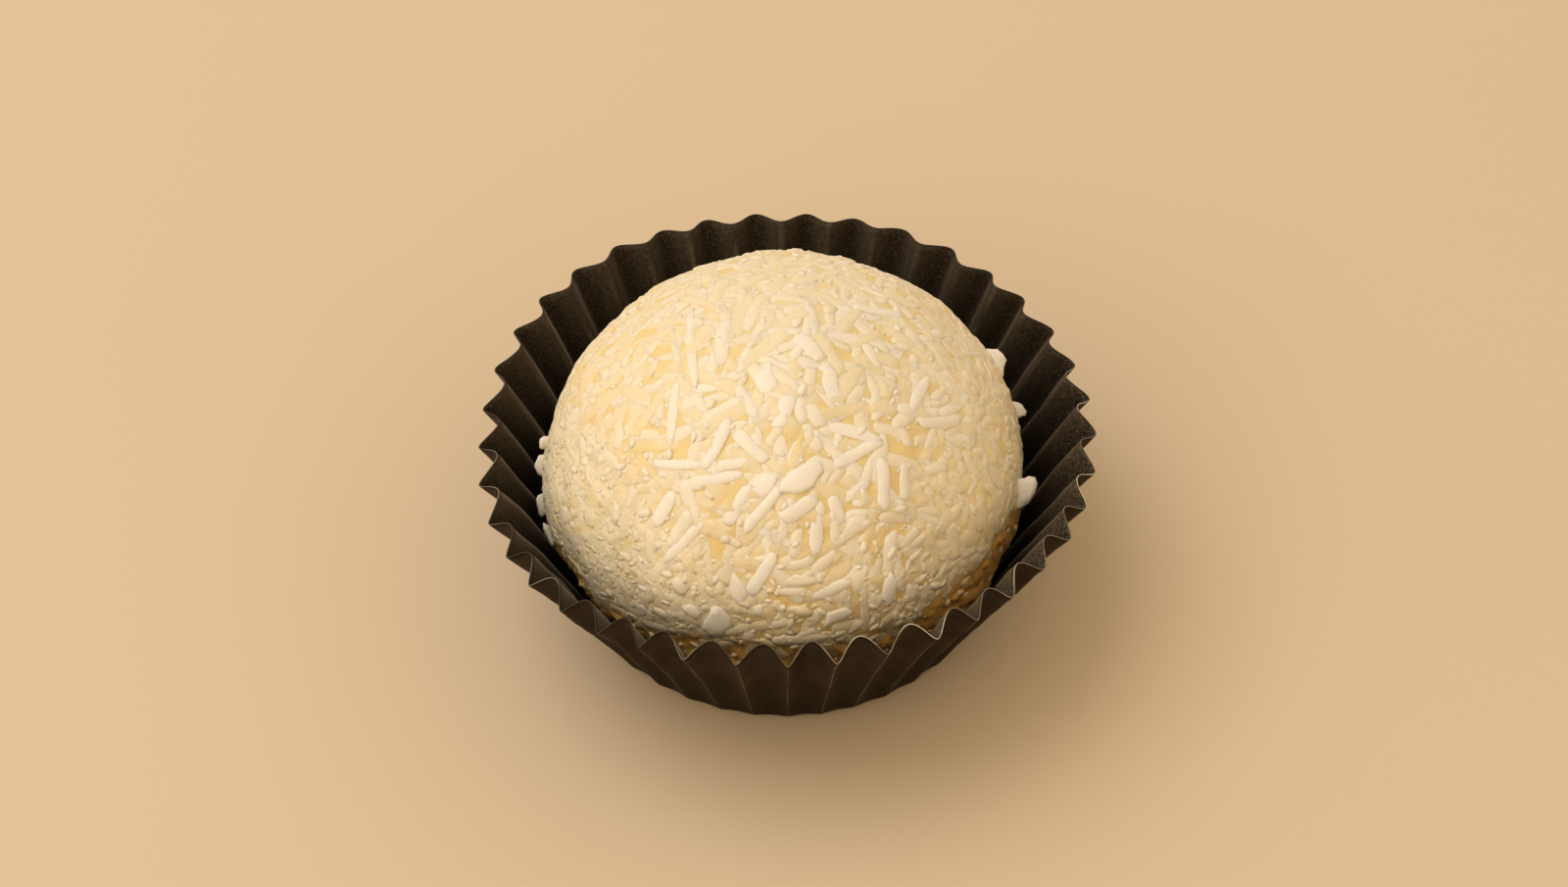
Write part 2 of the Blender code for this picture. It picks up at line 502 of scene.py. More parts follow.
def outside_material(settings):
    """The outer face: darker towards the foot as painted shade, and pale along the crests of the
    folds, partly from wear and partly as painted highlight.
    """
    shader = Shader("black_paper_outside")
    clouds = shader.noise(2.6 * MM)
    grain = shader.noise(0.22 * MM, detail=3.0)
    crest = 1 - shader.attribute("fold").stretched(0.0, 0.02)
    high = shader.axis("Z").stretched(-2 * MM, 8 * MM)
    # Fibres, and soft pale patches higher up the wall that are painted light.
    faint = grain.stretched(0.55, 0.8) * 0.12 + high * clouds.stretched(0.4, 0.65) * 0.05
    # Pale along the crests of the folds: partly wear, partly painted highlight.
    wear_and_highlight = (crest * clouds.stretched(0.3, 0.6) * 0.8 + faint).clamped()
    # Painted shade: the face darkens towards the foot, where shadow gathers near the floor.
    face = shader.mix(high, scaled(settings.outside, 0.3), settings.outside)
    return paper(shader, settings, face, wear_and_highlight, grain, sheen=0.0)


def inside_material(settings):
    """The inner face: greaseproof, with a speckle of fibres. Painted light makes it greyer towards
    the rim and on the open flanks of the folds, painted shade darkens it deep down and in the
    hollows of the folds, and painted highlights streak the folds that stand inwards.
    """
    shader = Shader("black_paper_inside")
    clouds = shader.noise(2.6 * MM)
    grain = shader.noise(0.16 * MM, detail=3.0, roughness=0.75)
    high = shader.axis("Z").stretched(6 * MM, 13 * MM)
    fold = shader.attribute("fold")
    # A speckle of fibres, shown only near the rim as painted light, and brighter at the front right
    # as painted highlights.
    speckle = grain.stretched(0.48, 0.72) * 0.35
    speckle += scuffed_and_highlit(shader) * grain.stretched(0.44, 0.60) * 0.4
    # Painted highlight streaks along the folds that stand inwards, and the speckle of fibres.
    wear_and_highlight = (fold.stretched(0.95, 1.0) * clouds.stretched(0.4, 0.7) * 0.3 + high * speckle).clamped()
    # Painted light and shade: lighter towards the rim and away from the hollows of the folds,
    # darker deep down and in the hollows.
    painted_light = high * (0.2 + 0.8 * fold.stretched(0.05, 0.7))
    face = shader.mix(painted_light, scaled(settings.inside, 0.3), settings.inside)
    return paper(shader, settings, face, wear_and_highlight, grain, sheen=0.3)


def edge_material(settings):
    """The cut edge, where the undyed middle of the paper shows in places, with painted highlights
    that are brightest at the front right.
    """
    shader = Shader("paper_cut_edge")
    rubbed_and_lit = scuffed_and_highlit(shader)
    patchy = shader.noise(4.0 * MM).stretched(0.52, 0.64) * (0.3 + 0.7 * rubbed_and_lit)
    # Painted highlights along the edge, strongest at the front right.
    bare = (patchy + 0.25 * rubbed_and_lit).clamped()
    base = shader.mix(bare, scaled(settings.inside, 1.6), settings.cut)
    return shader.finish({"Base Color": base, "Roughness": 0.6, "Specular IOR Level": 0.3})


def dough_material(settings):
    """Pale yellow dough, moist and fine-grained, with coconut showing through its skin."""
    shader = Shader("coconut_dough")
    grain = shader.noise(0.24 * MM, detail=3.0, roughness=0.7)
    clouds = shader.noise(3.2 * MM)
    creamy = shader.attribute("creamy")
    bare = shader.attribute("bare")
    milky = shader.attribute("coconut") + clouds.stretched(0.5, 0.8) * 0.2
    milky += creamy * (0.2 + 0.4 * grain.stretched(0.40, 0.60) + 0.3 * clouds.stretched(0.4, 0.6))
    skin = shader.mix(milky.clamped(), settings.dough, settings.cream)
    # Golden where the dough is bare, and low on the sweet partly as painted warm shade.
    golden = (bare * (0.75 + 0.5 * grain) + 0.5 * wetness_and_shade(shader) * (1 - creamy)).clamped()
    return shader.finish({
        "Base Color": shader.mix(golden, skin, settings.bare),
        "Roughness": (0.34 + 0.3 * grain + 0.25 * creamy).clamped(),
        "Subsurface Weight": 0.4,
        "Subsurface Radius": (1.0, 0.8, 0.5),
        "Subsurface Scale": 0.3 * MM,
        "Specular IOR Level": 0.4,
        "Normal": shader.bump(grain * (0.5 + 0.4 * shader.attribute("rough")), 0.08 * MM, 0.6),
    })


def coconut_material(name, coat, roughness):
    """Coconut flesh: white where it is dry and proud, creamy or golden where it is soaked, and
    golden low on the sweet partly as painted warm shade.
    """
    shader = Shader(name)
    tone = shader.attribute("tone")
    lift = shader.attribute("lift")
    wet_and_shaded = wetness_and_shade(shader)
    grain = shader.noise(0.17 * MM, detail=3.0, roughness=0.7)
    streaks = shader.noise(0.7 * MM, detail=3.0)
    # Low on the sweet the coconut turns soaked and golden, partly as painted warm shade.
    dry = (0.4 + lift * 0.9 + tone * 0.3 - streaks * 0.4 - 0.3 * wet_and_shaded).clamped()
    flesh = shader.mix(dry, coat.soaked, coat.coconut)
    return shader.finish({
        "Base Color": shader.mix(wet_and_shaded * (1 - dry) * 0.9, flesh, coat.golden),
        "Roughness": roughness + 0.2 * grain,
        "Subsurface Weight": 0.2,
        "Subsurface Radius": (1.0, 0.9, 0.7),
        "Subsurface Scale": 0.12 * MM,
        "Specular IOR Level": 0.4,
        "Normal": shader.bump(grain + streaks, 0.05 * MM, 0.7),
    })


def floor_material(settings):
    """A plain pale matt board."""
    shader = Shader("pale_floor")
    clouds = shader.noise(60 * MM, detail=3.0)
    board = shader.mix(clouds, settings.floor, scaled(settings.floor, 0.96))
    return shader.finish({"Base Color": board, "Roughness": 0.65})


# -------------------- forms


def wave_sum(waves, angle):
    """The sum of cosine waves, each (count, amplitude, crest in degrees), at angles in radians."""
    return sum(
        size * np.cos(count * (angle - math.radians(crest))) for count, size, crest in waves
    )


def smooth_step(value, low, high):
    """0 up to low, 1 from high on, and an even slope that starts and ends softly between."""
    share = np.clip((value - low) / (high - low), 0.0, 1.0)
    return share * share * (3 - 2 * share)


class Ripples:
    """A smooth random field, of spread 1 about 0: weak sine waves of like lengths that cross."""

    def __init__(self, seed, length, count=28):
        chance = np.random.default_rng(seed)
        heading = chance.normal(size=(count, 3))
        heading /= np.linalg.norm(heading, axis=1, keepdims=True)
        self.waves = heading * (math.tau / length) * chance.uniform(0.7, 1.4, (count, 1))
        self.phases = chance.uniform(0.0, math.tau, count)

    def at(self, points):
        together = np.sin(points @ self.waves.T + self.phases).sum(axis=1)
        return together * math.sqrt(2 / len(self.phases))


def unit_vectors(turn, tilt):
    """Unit vectors at angles round from +X and down from +Z, in radians."""
    level = np.sin(tilt)
    return np.stack([level * np.cos(turn), level * np.sin(turn), np.cos(tilt)], axis=-1)


def sweet_outline(units):
    """The sweet's outline, and its outward normals, at points of the unit sphere."""
    x, y, z = units.T
    angle = np.arctan2(y, x)
    upper = z >= 0
    upper_height = SWEET_HIGH.z - WIDEST_LEVEL
    sagging = np.sqrt(np.clip(1 - np.abs(z) ** SAG_ROUNDNESS, 0, 1))
    girth = np.where(upper, np.hypot(x, y), sagging)
    radius = SWEET_RADIUS * (1 + wave_sum(SWEET_WAVES, angle)) * girth
    height = WIDEST_LEVEL + z * np.where(upper, upper_height, SAG_DEPTH)
    points = np.stack([radius * np.cos(angle), radius * np.sin(angle), height], axis=-1)
    points += LEAN * (height / SWEET_HIGH.z)[:, None]
    normals = units / np.array([SWEET_RADIUS, SWEET_RADIUS, upper_height])
    return points, normals / np.linalg.norm(normals, axis=1, keepdims=True)


class Dough:
    """The dough's skin, which everything on the sweet is laid on."""

    def __init__(self, settings):
        self.settings = settings
        self.broad = Ripples(seed=3, length=7.0 * MM)
        self.fine = Ripples(seed=4, length=2.2 * MM)

    def skin(self, units, lift):
        """Points at a height `lift` over the skin."""
        points, normals = sweet_outline(units)
        lumps = self.settings.lumps * (self.broad.at(points) + FINE_LUMPS * self.fine.at(points))
        drop = COAT + RUBBED_OFF * bareness(units)
        return points + normals * (lumps - drop + lift)[:, None]


def nearness(units, places):
    """1 at the middle of any of the places, falling smoothly to 0 a little past its reach."""
    near = np.zeros(len(units))
    for turn, tilt, reach in places:
        middle = unit_vectors(math.radians(turn), math.radians(tilt))
        away = np.degrees(np.arccos(np.clip(units @ middle, -1, 1)))
        near = np.maximum(near, 1 - smooth_step(away, 0.5 * reach, 1.5 * reach))
    return near


def bareness(units):
    """1 low on the sweet, where the coat rubs off on the paper, and 0 over the rest."""
    tilt = np.degrees(np.arccos(np.clip(units[:, 2], -1, 1)))
    turn = np.arctan2(units[:, 1], units[:, 0])
    ragged = 1.2 * np.sin(5 * turn + 1) + np.sin(17 * turn) + 0.8 * np.sin(31 * turn + 2)
    border = 84.0 - 4.5 * np.cos(turn + 0.35) + ragged
    return smooth_step(tilt - border, -2.0, 3.0)


class Shred:
    """Where one shred lies: its middle on the unit sphere, its heading there, and its size."""

    def __init__(self, middle, heading, length, width, lift):
        downhill = np.array([middle[0] * middle[2], middle[1] * middle[2], middle[2] ** 2 - 1])
        size = np.linalg.norm(downhill)
        downhill = downhill / size if size > 1e-6 else np.array([1.0, 0.0, 0.0])
        level = np.cross(middle, downhill)
        self.middle = middle
        self.along = math.cos(heading) * downhill + math.sin(heading) * level
        self.across = np.cross(middle, self.along)
        self.length = length
        self.width = width
        self.lift = lift

    def units(self, along, across):
        """Points of the unit sphere at distances along and across the shred."""
        found = self.middle + np.outer(along / SWEET_RADIUS, self.along)
        found = found + np.outer(across / SWEET_RADIUS, self.across)
        return found / np.linalg.norm(found, axis=1, keepdims=True)


def chosen_shreds(rows):
    """The shreds or flakes that a table lists."""
    return [
        Shred(
            unit_vectors(math.radians(turn), math.radians(tilt)),
            math.radians(heading), length * MM, width * MM, lift,
        )
        for turn, tilt, heading, length, width, lift in rows
    ]


def scattered(chance, count, spacing, share, lowest, taken=()):
    """Up to `count` chance points of the sphere, `spacing` apart, denser where `share` is higher.

    None is tilted past `lowest`, in degrees, or near a point that is taken already.
    """
    bottom = math.cos(math.radians(lowest))
    found = list(taken)
    already = len(found)
    closest = math.cos(spacing / SWEET_RADIUS)
    for _ in range(SCATTER_ROUNDS):
        height = chance.uniform(bottom, 1.0, count)
        turn = chance.uniform(0.0, math.tau, count)
        trial = unit_vectors(turn, np.arccos(height))
        trial = trial[chance.uniform(size=count) < share(trial)]
        for point in trial:
            if len(found) - already >= count:
                return found[already:]
            if not found or (np.asarray(found) @ point).max() < closest:
                found.append(point)
    return found[already:]


# -------------------- meshes


class Scatter:
    """Many small closed shapes joined in one mesh, whose points carry numbers for the material."""

    def __init__(self):
        self.shape = bmesh.new()
        self.points = []
        self.marks = {}

    def add(self, template, points, **marks):
        self.shape.from_mesh(template)
        self.points.append(points)
        for name, value in marks.items():
            self.marks.setdefault(name, []).append(np.broadcast_to(value, len(points)))

    def finish(self, name, material):
        mesh = bpy.data.meshes.new(name)
        self.shape.to_mesh(mesh)
        self.shape.free()
        mesh.vertices.foreach_set("co", np.concatenate(self.points).astype(np.float32).ravel())
        for mark, values in self.marks.items():
            set_mark(mesh, mark, np.concatenate(values))
        return add_piece(name, mesh, material)


def set_mark(mesh, name, values):
    """Stores a number for each point of the mesh, for its material to read."""
    mark = mesh.attributes.new(name, "FLOAT", "POINT")
    mark.data.foreach_set("value", np.asarray(values, np.float32))


def points_of(mesh):
    """A mesh's points, as an array of three columns."""
    found = np.empty(len(mesh.vertices) * 3, np.float32)
    mesh.vertices.foreach_get("co", found)
    return found.reshape(-1, 3).astype(float)


def add_piece(name, mesh, material):
    """A new smooth object of this mesh, whose own origin is the scene's."""
    mesh.update()
    mesh.materials.append(material)
    mesh.shade_smooth()
    piece = bpy.data.objects.new(name, mesh)
    bpy.context.scene.collection.objects.link(piece)
    return piece


def bead(segments, rings):
    """A plain unit ball as a mesh, whose poles are at the two ends of X."""
    shape = bmesh.new()
    bmesh.ops.create_uvsphere(shape, u_segments=segments, v_segments=rings, radius=1.0)
    for vertex in shape.verts:
        vertex.co = Vector((vertex.co.z, vertex.co.x, vertex.co.y))
    mesh = bpy.data.meshes.new("bead")
    shape.to_mesh(mesh)
    shape.free()
    return mesh


def sliver(ball, chance, shred, thickness, blunt, ragged):
    """A unit ball's points drawn into a flat bent sliver, with square ends if `blunt` is high."""
    along, across, high = ball.T
    ring = np.maximum(np.hypot(across, high), 1e-6)
    across, high = (np.sign(part) * np.abs(part / ring) ** 0.45 for part in (across, high))
    swell = np.clip(1 - np.abs(along) ** blunt, 0, 1) ** 0.5
    taper = 1 - chance.uniform(0.0, 0.25) * (along + 1) / 2
    bow = along**2 - 0.33
    bend = chance.normal(0.0, 0.025) * shred.length
    skew = chance.uniform(-0.6, 0.6)
    across = across * swell * taper * shred.width / 2
    high = high * swell**0.7 * thickness / 2
    along = along * shred.length / 2 + skew * across
    local = np.stack([along, across + bend * bow, high], axis=-1)
    local[:, :2] *= 1 + ragged * Ripples(chance.integers(1 << 30), 0.9 * MM).at(local)[:, None]
    return local


def stood_up(local):
    """A flake's own points turned about its length, so that it stands on its edge."""
    along, across, high = local.T
    cosine, sine = math.cos(STANDING_LEAN), math.sin(STANDING_LEAN)
    return np.stack([along, across * cosine - high * sine, across * sine + high * cosine], axis=-1)


def laid(dough, shred, local, rise, stiffness=0.5, tip=0.0):
    """A shape's own points laid on the dough, `rise` over its skin.

    A stiffness of 0 bends the shape to the sweet's curve, and one of 1 leaves it straight. The tip
    is the slope from one end to the other.
    """
    along, across, high = local.T
    height = high + rise + stiffness * along**2 / (2 * SWEET_RADIUS) + tip * along
    return dough.skin(shred.units(along, across), height)


def make_case(settings):
    """One round of paper, drawn out ring by ring and up the wall, then fluted and thickened."""
    sheet = bmesh.new()
    segments = settings.flutes * STEPS_PER_FLUTE
    bmesh.ops.create_circle(
        sheet, cap_ends=True, cap_tris=True, segments=segments, radius=FIRST_RING
    )
    for reach in BASE_RINGS:
        for vertex in draw_ring(sheet):
            vertex.co *= reach / vertex.co.length
    for rise in WALL_ROWS:
        for vertex in draw_ring(sheet):
            vertex.co.z = rise
    bmesh.ops.recalc_face_normals(sheet, faces=sheet.faces)
    sheet.normal_update()
    if min(sheet.faces, key=lambda face: face.calc_center_median().length).normal.z > 0:
        bmesh.ops.reverse_faces(sheet, faces=sheet.faces)
    mesh = bpy.data.meshes.new("fluted_paper_case")
    sheet.to_mesh(mesh)
    sheet.free()

    points, fold = fluted(settings, points_of(mesh))
    mesh.vertices.foreach_set("co", points.astype(np.float32).ravel())
    set_mark(mesh, "fold", fold)
    case = add_piece("fluted_paper_case", mesh, outside_material(settings))
    mesh.materials.append(inside_material(settings))
    mesh.materials.append(edge_material(settings))
    thickness = case.modifiers.new("thickness", "SOLIDIFY")
    thickness.thickness = settings.paper
    thickness.offset = -1.0
    thickness.material_offset = 1
    thickness.material_offset_rim = 2
    return case


def draw_ring(sheet):
    """Draws a new ring of paper out of the sheet's border, and gives its points."""
    border = [edge for edge in sheet.edges if edge.is_boundary]
    drawn = bmesh.ops.extrude_edge_only(sheet, edges=border)["geom"]
    return [part for part in drawn if isinstance(part, bmesh.types.BMVert)]


def fluted(settings, plan):
    """The plan of the case folded, and how far each point lies from ridge, 0, to groove, 1."""
    reach = np.minimum(np.hypot(plan[:, 0], plan[:, 1]), 1.0)
    rise = plan[:, 2]
    flat_turn = np.arctan2(plan[:, 1], plan[:, 0])
    turn = flat_turn + FIRST_RIDGE
    angle = turn + rise * wave_sum(FLUTE_DRIFTS, turn)
    roundness = RIDGE_ROUNDNESS * ROUNDNESS_SPREAD ** np.cos(angle - ROUNDEST)
    rounded = np.sqrt(np.sin(settings.flutes * flat_turn / 2) ** 2 + roundness**2)
    fold = (rounded - roundness) / (np.sqrt(1 + roundness**2) - roundness)
    groove = settings.groove_rise + wave_sum(GROOVE_WAVES, angle)
    height = rise * (settings.ridge_height + wave_sum(HEIGHT_WAVES, angle) + groove * fold)
    radius = settings.base_radius * reach
    radius += (settings.rim_radius - settings.base_radius) * rise**WALL_FLARE
    radius += rise * wave_sum(RIM_WAVES, angle)
    depth = settings.fold_depth + wave_sum(DEPTH_WAVES, angle)
    crimp = smooth_step(reach, CRIMP_START, 1.0)
    growth = CRIMP_DEPTH * crimp + (1 - CRIMP_DEPTH) * rise**FLUTE_GROWTH
    radius -= depth * growth * fold
    radius -= BASE_CORNER * crimp * np.exp(-height / BASE_CORNER)
    height += CRIMP_RISE * fold * crimp * (rise <= 0)
    points = np.stack([radius * np.cos(angle), radius * np.sin(angle), height], axis=-1)
    creases = sum(size * Ripples(seed, length).at(points) for seed, length, size in CREASES)
    push = creases * smooth_step(rise, 0.05, 0.5)
    points[:, 0] += push * np.cos(angle)
    points[:, 1] += push * np.sin(angle)
    return points, fold


def sunk_shreds(settings, chance):
    """Shreds that the dough has closed over, which show as low ridges."""

    def share(units):
        return 0.35 + 0.65 * nearness(units, SMOOTH_PLACES)

    return [
        Shred(
            middle, chance.uniform(0, math.pi), chance.uniform(2.4, 5.2) * MM,
            chance.uniform(0.7, 1.15) * MM, chance.uniform(0.2, 1.0),
        )
        for middle in scattered(chance, settings.sunk, 1.5 * MM, share, 96.0)
    ]


def plateau(along, across):
    """1 over most of a shred's outline, where both run from -1 to 1, and 0 from its edge on."""
    return np.clip(1 - along**4, 0, 1) * np.clip(1 - across**4, 0, 1)


def sunk_relief(units, shreds):
    """How far sunk shreds raise the skin at points of the unit sphere, and how much they show."""
    relief = np.zeros(len(units))
    show = np.zeros(len(units))
    for shred in shreds:
        near = np.flatnonzero(units @ shred.middle > NEAR_SHRED)
        along = units[near] @ shred.along * SWEET_RADIUS
        across = units[near] @ shred.across * SWEET_RADIUS
        body = plateau(along / (shred.length / 2), across / (shred.width / 2))
        long, wide = shred.length + SUNK_HALO, shred.width + SUNK_HALO
        beside = 1 - 0.8 * smooth_step(plateau(along / (long / 2), across / (wide / 2)), 0.0, 0.3)
        ridge = smooth_step(body, 0.0, 0.7) * (0.05 + 0.06 * shred.lift) * MM
        pale = smooth_step(body, 0.02, 0.25) * (0.6 + 0.4 * shred.lift)
        relief[near] = np.maximum(relief[near] * beside, ridge)
        show[near] = np.maximum(show[near] * beside, pale)
    return relief, show


def fine_ball():
    """A cube of fine squares, which stay even when it is rounded, with one fan as its floor."""
    shape = bmesh.new()
    bmesh.ops.create_cube(shape, size=2.0)
    shape.normal_update()
    floor = [face for face in shape.faces if face.normal.z < -0.5]
    bmesh.ops.delete(shape, geom=floor, context="FACES_ONLY")
    bmesh.ops.subdivide_edges(shape, edges=shape.edges[:], cuts=BALL_CUTS, use_grid_fill=True)
    border = [edge for edge in shape.edges if edge.is_boundary]
    foot = bmesh.ops.contextual_create(shape, geom=border)["faces"]
    bmesh.ops.poke(shape, faces=foot)
    bmesh.ops.recalc_face_normals(shape, faces=shape.faces)
    mesh = bpy.data.meshes.new("coconut_dough")
    shape.to_mesh(mesh)
    shape.free()
    return mesh


def rounded_cube(cube):
    """Points of the unit sphere for those of the cube, whose floor becomes the sweet's foot."""
    even = np.tan(cube * (math.pi / 4))
    upper = even / np.linalg.norm(even, axis=1, keepdims=True)
    turn = np.arctan2(even[:, 1], even[:, 0])
    foot_tilt = math.acos((SWEET_LOW.z - WIDEST_LEVEL) / SAG_DEPTH)
    drop = np.clip(-cube[:, 2], 0, 1)
    lower = unit_vectors(turn, math.pi / 2 + (foot_tilt - math.pi / 2) * drop)
    return np.where(cube[:, 2:] >= 0, upper, lower)


def make_dough(settings, coat):
    """A fine ball drawn onto the sweet's form, with lumps, grit and the ridges of sunk shreds."""
    mesh = fine_ball()
    cube = points_of(mesh)
    units = rounded_cube(cube)
    relief, show = sunk_relief(units, sunk_shreds(coat, np.random.default_rng(coat.seed)))
    crumbly, chippy, pasty, yolky, creamy = (
        nearness(units, places)
        for places in (CRUMBLY_PLACES, CHIPPY_PLACES, PASTY_PLACES, YOLKY_PLACES, CREAMY_PLACES)
    )
    rough = np.maximum(crumbly, 0.7 * chippy)
    buried = np.maximum(crumbly, 0.7 * np.maximum(chippy, pasty))
    bare = bareness(units)
    spots = units * SWEET_RADIUS
    grit = Ripples(31, 1.1 * MM).at(spots) + 0.6 * Ripples(32, 0.6 * MM).at(spots)
    lift = relief * (1 - 0.8 * buried) * (1 - bare)
    lift += settings.grit * grit * (0.3 + 0.35 * pasty + 0.15 * rough + 0.8 * bare)
    points = Dough(settings).skin(units, lift)
    # The foot is flat, with one point in the middle of it.
    points[np.abs(cube[:, 2] + 1) < 1e-4, 2] = SWEET_LOW.z
    middle = (np.hypot(cube[:, 0], cube[:, 1]) < 1e-4) & (cube[:, 2] < 0)
    points[middle] = (*(LEAN * (SWEET_LOW.z / SWEET_HIGH.z))[:2], SWEET_LOW.z)
    mesh.vertices.foreach_set("co", points.astype(np.float32).ravel())
    set_mark(mesh, "coconut", show * (1 - 0.9 * yolky))
    set_mark(mesh, "rough", rough)
    set_mark(mesh, "creamy", np.maximum(np.maximum(crumbly, 0.8 * pasty), creamy))
    set_mark(mesh, "bare", bare)
    return add_piece("coconut_dough", mesh, dough_material(settings))


def drawn_lift(chance, middle):
    """How proud a chance shred lies: low as a rule, and lower where the coat is smooth or fine."""
    soft = nearness(middle[None], SMOOTH_PLACES + PASTY_PLACES + CRUMBLY_PLACES)[0]
    return 0.8 * chance.beta(1.0, 3.0) * (1 - 0.8 * soft)


def make_shreds(settings, coat):
    """Long slivers of coconut, pressed into the dough or lying on it."""
    chance = np.random.default_rng(coat.seed + 1)
    dough = Dough(settings)
    template = bead(segments=10, rings=9)
    ball = points_of(template)
    shreds = chosen_shreds(SHOWN_SHREDS)

    def share(units):
        broken = np.maximum(nearness(units, CRUMBLY_PLACES), 0.6 * nearness(units, CHIPPY_PLACES))
        pasty, smooth = nearness(units, PASTY_PLACES), nearness(units, SMOOTH_PLACES)
        soft = np.maximum(np.maximum(0.7 * pasty, 0.35 * smooth), nearness(units, YOLKY_PLACES))
        return (1 - bareness(units)) * (1 - broken) * (1 - soft)

    taken = [shred.middle for shred in shreds]
    for middle in scattered(chance, coat.shreds, 1.1 * MM, share, 92.0, taken):
        lift = drawn_lift(chance, middle)
        length = chance.uniform(1.5, 4.2) * MM
        width = chance.uniform(0.70, 1.10) * MM
        shreds.append(Shred(middle, chance.uniform(0, math.pi), length, width, lift))
    heap = Scatter()
    for shred in shreds:
        blunt = chance.choice([3.0, 5.0, 9.0])
        local = sliver(ball, chance, shred, SHRED_THICKNESS, blunt, ragged=0.04)
        rise = (0.04 + 0.12 * shred.lift) * MM - SHRED_THICKNESS / 2
        points = laid(dough, shred, local, rise, tip=chance.normal(0, 0.010))
        heap.add(template, points, tone=chance.uniform(0, 1), lift=shred.lift)
    return heap.finish("coconut_shreds", coconut_material("coconut_shred", coat, 0.50))


def make_flakes(settings, coat):
    """Broad broken flakes, short and thin, more of them near the front."""
    chance = np.random.default_rng(coat.seed + 2)
    dough = Dough(settings)
    template = bead(segments=12, rings=7)
    ball = points_of(template)
    flakes = chosen_shreds(SHOWN_FLAKES)

    def share(units):
        near = 0.25 + 0.75 * nearness(units, CHIPPY_PLACES)
        return (1 - bareness(units)) * near * (1 - nearness(units, CRUMBLY_PLACES))

    taken = [flake.middle for flake in flakes]
    for middle in scattered(chance, coat.flakes, 1.5 * MM, share, 91.0, taken):
        lift = drawn_lift(chance, middle)
        length = chance.uniform(0.9, 2.2) * MM
        width = chance.uniform(0.4, 0.8) * length
        flakes.append(Shred(middle, chance.uniform(0, math.pi), length, width, lift))
    heap = Scatter()
    for flake in flakes:
        blunt = chance.choice([1.8, 3.0])
        local = sliver(ball, chance, flake, FLAKE_THICKNESS, blunt, ragged=0.16)
        rise = (0.04 + 0.15 * flake.lift) * MM - FLAKE_THICKNESS / 2
        if flake.lift > 1:
            local = stood_up(local)
            rise = STANDING_RISE * flake.lift
        points = laid(dough, flake, local, rise, stiffness=0.6, tip=chance.normal(0, 0.025))
        heap.add(template, points, tone=chance.uniform(0, 1), lift=flake.lift)
    return heap.finish("coconut_flakes", coconut_material("coconut_flake", coat, 0.464))


def make_crumbs(settings, coat):
    """Fine crumbs of coconut and sugar, thickest low on the sweet."""
    chance = np.random.default_rng(coat.seed + 3)
    dough = Dough(settings)
    template = bead(segments=7, rings=5)
    ball = points_of(template)

    def share(units):
        near = np.maximum(nearness(units, CRUMBLY_PLACES), 0.5 * nearness(units, CHIPPY_PLACES))
        near = np.maximum(near, 0.45 * nearness(units, GRAINY_PLACES))
        return (1 - 0.7 * bareness(units)) * (0.1 + 0.9 * near)

    heap = Scatter()
    for middle in scattered(chance, coat.crumbs, 0.26 * MM, share, 91.0):
        size = (0.09 + chance.gamma(2.0, 0.04)) * MM
        local = ball * (1 + chance.normal(0, 0.12, (len(ball), 1))) * size
        proud = 1 - nearness(middle[None], CRUMBLY_PLACES + PASTY_PLACES)[0]
        local *= np.array([chance.uniform(1.1, 2.0), 1.0, 0.22 + 0.33 * proud])
        lift = chance.beta(1.0, 3.0)
        crumb = Shred(middle, chance.uniform(0, math.pi), size, size, lift)
        points = laid(dough, crumb, local, (lift * (0.25 + 0.3 * proud) - 0.10) * size)
        heap.add(template, points, tone=chance.uniform(0, 1), lift=0.7 * lift)
    return heap.finish("coconut_crumbs", coconut_material("coconut_crumb", coat, 0.50))


# -------------------- operators


class BRIGADEIRO_OT_paper_case(bpy.types.Operator):
    """Makes the fluted paper case"""

    bl_idname = "brigadeiro.paper_case"
    bl_label = "Paper Case"

    def execute(self, context):
        case = make_case(context.scene.brigadeiro_case)
        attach(case, BODY)
        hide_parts("paper_case")
        return {"FINISHED"}


class BRIGADEIRO_OT_dough(bpy.types.Operator):
    """Makes the dough, with the shreds that it has closed over"""

    bl_idname = "brigadeiro.dough"
    bl_label = "Dough"

    def execute(self, context):
        dough = make_dough(context.scene.brigadeiro_sweet, context.scene.brigadeiro_coat)
        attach(dough, BODY)
        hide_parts("sweet")
        return {"FINISHED"}


class BRIGADEIRO_OT_coat(bpy.types.Operator):
    """Lays the shreds, flakes and crumbs of coconut on the dough"""

    bl_idname = "brigadeiro.coat"
    bl_label = "Coconut Coat"

    def execute(self, context):
        for make in (make_shreds, make_flakes, make_crumbs):
            coating = make(context.scene.brigadeiro_sweet, context.scene.brigadeiro_coat)
            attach(coating, BODY)
        return {"FINISHED"}


class BRIGADEIRO_OT_studio(bpy.types.Operator):
    """Adds the floor, the lights and the camera"""

    bl_idname = "brigadeiro.studio"
    bl_label = "Studio"

    def execute(self, context):
        settings = context.scene.brigadeiro_studio
        middle = Vector((0.0, 0.0, (CAD_BOX[1][2] - CAD_BOX[0][2]) / 2))
        make_floor(settings)
        make_lights(settings, middle)
        make_camera(settings, middle)
        return {"FINISHED"}


def make_floor(settings):
    """A flat board under the case, wider than any view of it."""
    sheet = bmesh.new()
    bmesh.ops.create_grid(sheet, x_segments=8, y_segments=8, size=0.9)
    mesh = bpy.data.meshes.new("floor")
    sheet.to_mesh(mesh)
    sheet.free()
    return add_piece("floor", mesh, floor_material(settings))


def aim(thing, place, target):
    """Puts a light or the camera at a place, looking at the target."""
    thing.location = place
    thing.rotation_euler = (target - place).to_track_quat("-Z", "Y").to_euler()


